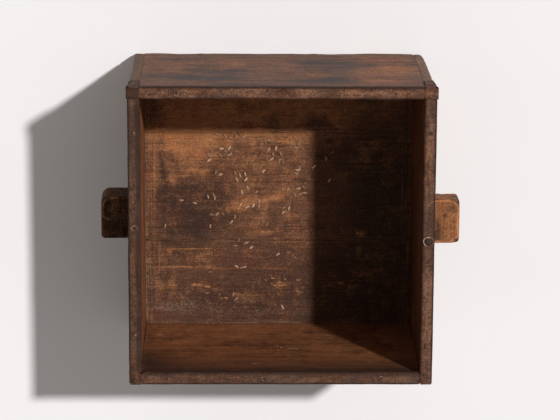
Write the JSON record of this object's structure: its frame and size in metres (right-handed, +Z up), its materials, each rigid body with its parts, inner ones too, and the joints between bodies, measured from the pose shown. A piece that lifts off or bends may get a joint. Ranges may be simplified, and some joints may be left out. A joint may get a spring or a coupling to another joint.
{
  "type": "grain measure",
  "caption": "Square open wooden box for measuring grain, with an iron-bound mouth, pegged butt joints, a planked bottom and a block grip on each side.",
  "frame": {"origin": "centre of the underside, on the surface that the box stands on", "axes": "+Z up through the open mouth, X from grip to grip, -Y the wall that the box rests on in the picture"},
  "size_m": [0.391, 0.33, 0.2129],
  "materials": {
    "wall_wood": "old bare wood, darkened and handled, with rust stains by the iron",
    "bottom_wood": "bare orange-brown wood, dusty and grey-brown where grain has lain",
    "grip_wood": "bare wood, worn round and lighter on its arrises",
    "rim_iron": "thin forged iron strip, brown rust patina, rubbed lighter on top",
    "nail_iron": "hand-forged nail, dark rust",
    "peg_wood": "wooden peg cut off flush, dark end grain"
  },
  "bodies": {
    "root": {"bottom_peg_front_left": "peg_wood", "bottom_peg_front_right": "peg_wood", "bottom_peg_left_front": "peg_wood", "bottom_peg_left_middle": "peg_wood", "bottom_peg_left_rear": "peg_wood", "bottom_peg_rear_left": "peg_wood", "bottom_peg_rear_right": "peg_wood", "bottom_peg_right_front": "peg_wood", "bottom_peg_right_middle": "peg_wood", "bottom_peg_right_rear": "peg_wood", "bottom_plank_front": "bottom_wood", "bottom_plank_middle": "bottom_wood", "bottom_plank_rear": "bottom_wood", "corner_peg_left_front_1": "peg_wood", "corner_peg_left_front_2": "peg_wood", "corner_peg_left_front_3": "peg_wood", "corner_peg_left_rear_1": "peg_wood", "corner_peg_left_rear_2": "peg_wood", "corner_peg_left_rear_3": "peg_wood", "corner_peg_right_front_1": "peg_wood", "corner_peg_right_front_2": "peg_wood", "corner_peg_right_front_3": "peg_wood", "corner_peg_right_rear_1": "peg_wood", "corner_peg_right_rear_2": "peg_wood", "corner_peg_right_rear_3": "peg_wood", "end_wall_front": "wall_wood", "end_wall_rear": "wall_wood", "grip_left": "grip_wood", "grip_peg_left_front": "peg_wood", "grip_peg_left_rear": "peg_wood", "grip_peg_right_front": "peg_wood", "grip_peg_right_rear": "peg_wood", "grip_right": "grip_wood", "rim_nail_front_1": "nail_iron", "rim_nail_front_2": "nail_iron", "rim_nail_front_3": "nail_iron", "rim_nail_left_1": "nail_iron", "rim_nail_left_2": "nail_iron", "rim_nail_left_3": "nail_iron", "rim_nail_rear_1": "nail_iron", "rim_nail_rear_2": "nail_iron", "rim_nail_rear_3": "nail_iron", "rim_nail_right_1": "nail_iron", "rim_nail_right_3": "nail_iron", "rim_strip_front": "rim_iron", "rim_strip_left": "rim_iron", "rim_strip_rear": "rim_iron", "rim_strip_right": "rim_iron", "rim_stud_right": "nail_iron", "side_wall_left": "wall_wood", "side_wall_right": "wall_wood", "tab_nail_left_front_end": "nail_iron", "tab_nail_left_front_side": "nail_iron", "tab_nail_left_rear_end": "nail_iron", "tab_nail_left_rear_side": "nail_iron", "tab_nail_right_front_end": "nail_iron", "tab_nail_right_front_side": "nail_iron", "tab_nail_right_rear_end": "nail_iron", "tab_nail_right_rear_side": "nail_iron"}
  },
  "joints": []
}
